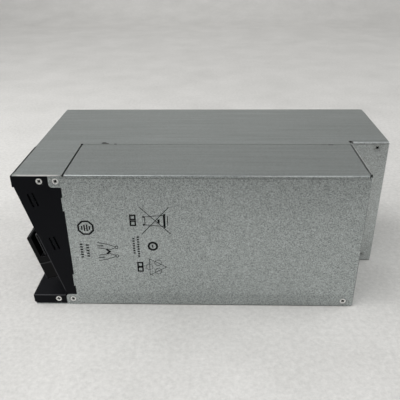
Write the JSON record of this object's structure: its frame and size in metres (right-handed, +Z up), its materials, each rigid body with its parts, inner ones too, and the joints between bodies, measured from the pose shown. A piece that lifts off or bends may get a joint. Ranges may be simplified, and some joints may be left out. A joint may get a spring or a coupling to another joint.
{
  "type": "rack battery module",
  "caption": "Oblong galvanised-steel battery module with a notched rear corner, a black moulded front bezel, a hooked grip and a sprung catch lever.",
  "frame": {"origin": "centre of the bounding box's bottom face, on the side that the module stands on", "axes": "+X from the bezel to the rear end, +Y from the printed cover to the plain far wall, +Z up as it stands"},
  "size_m": [0.393, 0.211, 0.157],
  "materials": {
    "galvanised_sheet": "hot-dip galvanised sheet, fine spangle, satin",
    "bezel_plastic": "black moulded plastic, fine grain",
    "plated_steel": "bright zinc plate",
    "battery_case": "moulded ABS case",
    "battery_lid": "moulded ABS lid",
    "tinned_brass": "tinned brass",
    "link_sleeve": "insulated copper",
    "connector_plastic": "glass-filled nylon",
    "fuse_tube": "fuse tube and caps",
    "foam": "closed-cell foam",
    "insulating_film": "fish-paper film"
  },
  "bodies": {
    "module": {"main_case": "galvanised_sheet", "cover_tray": "galvanised_sheet", "front_bulkhead": "galvanised_sheet", "divider_shelf": "galvanised_sheet", "connector_bracket": "galvanised_sheet", "front_bezel": "bezel_plastic", "grip": "bezel_plastic", "grip_base": "bezel_plastic", "lever_pin": "plated_steel", "cover_screws": "plated_steel", "bezel_screws": "plated_steel", "strip_screws": "plated_steel", "connector_screws": "plated_steel", "clinch_nuts": "plated_steel", "grip_screws": "plated_steel", "battery_case_1": "battery_case", "battery_lid_1": "battery_lid", "battery_case_2": "battery_case", "battery_lid_2": "battery_lid", "battery_case_3": "battery_case", "battery_lid_3": "battery_lid", "battery_case_4": "battery_case", "battery_lid_4": "battery_lid", "battery_case_5": "battery_case", "battery_lid_5": "battery_lid", "battery_case_6": "battery_case", "battery_lid_6": "battery_lid", "battery_case_7": "battery_case", "battery_lid_7": "battery_lid", "battery_case_8": "battery_case", "battery_lid_8": "battery_lid", "battery_case_9": "battery_case", "battery_lid_9": "battery_lid", "terminal_tabs": "tinned_brass", "connector_contacts": "tinned_brass", "series_links_far": "link_sleeve", "series_links_near": "link_sleeve", "cross_lead": "link_sleeve", "positive_lead": "link_sleeve", "fuse_lead": "link_sleeve", "negative_lead": "link_sleeve", "fuse_holder": "connector_plastic", "fuse_link": "fuse_tube", "connector_shell": "connector_plastic", "lower_foam": "foam", "upper_foam": "foam", "rear_foam": "foam", "front_foam": "foam", "cover_film": "insulating_film", "divider_film": "insulating_film"},
    "lever": {"catch_lever": "plated_steel", "lever_spring": "plated_steel"}
  },
  "joints": [
    {"name": "catch_pivot", "type": "hinge", "parent": "module", "child": "lever", "pos_m": [-0.17773, 0, 0.05266], "axis": [0, -1, 0], "range_deg": [0, 7], "stiffness_Nm_per_rad": 0.8, "springref_deg": -5.73}
  ]
}
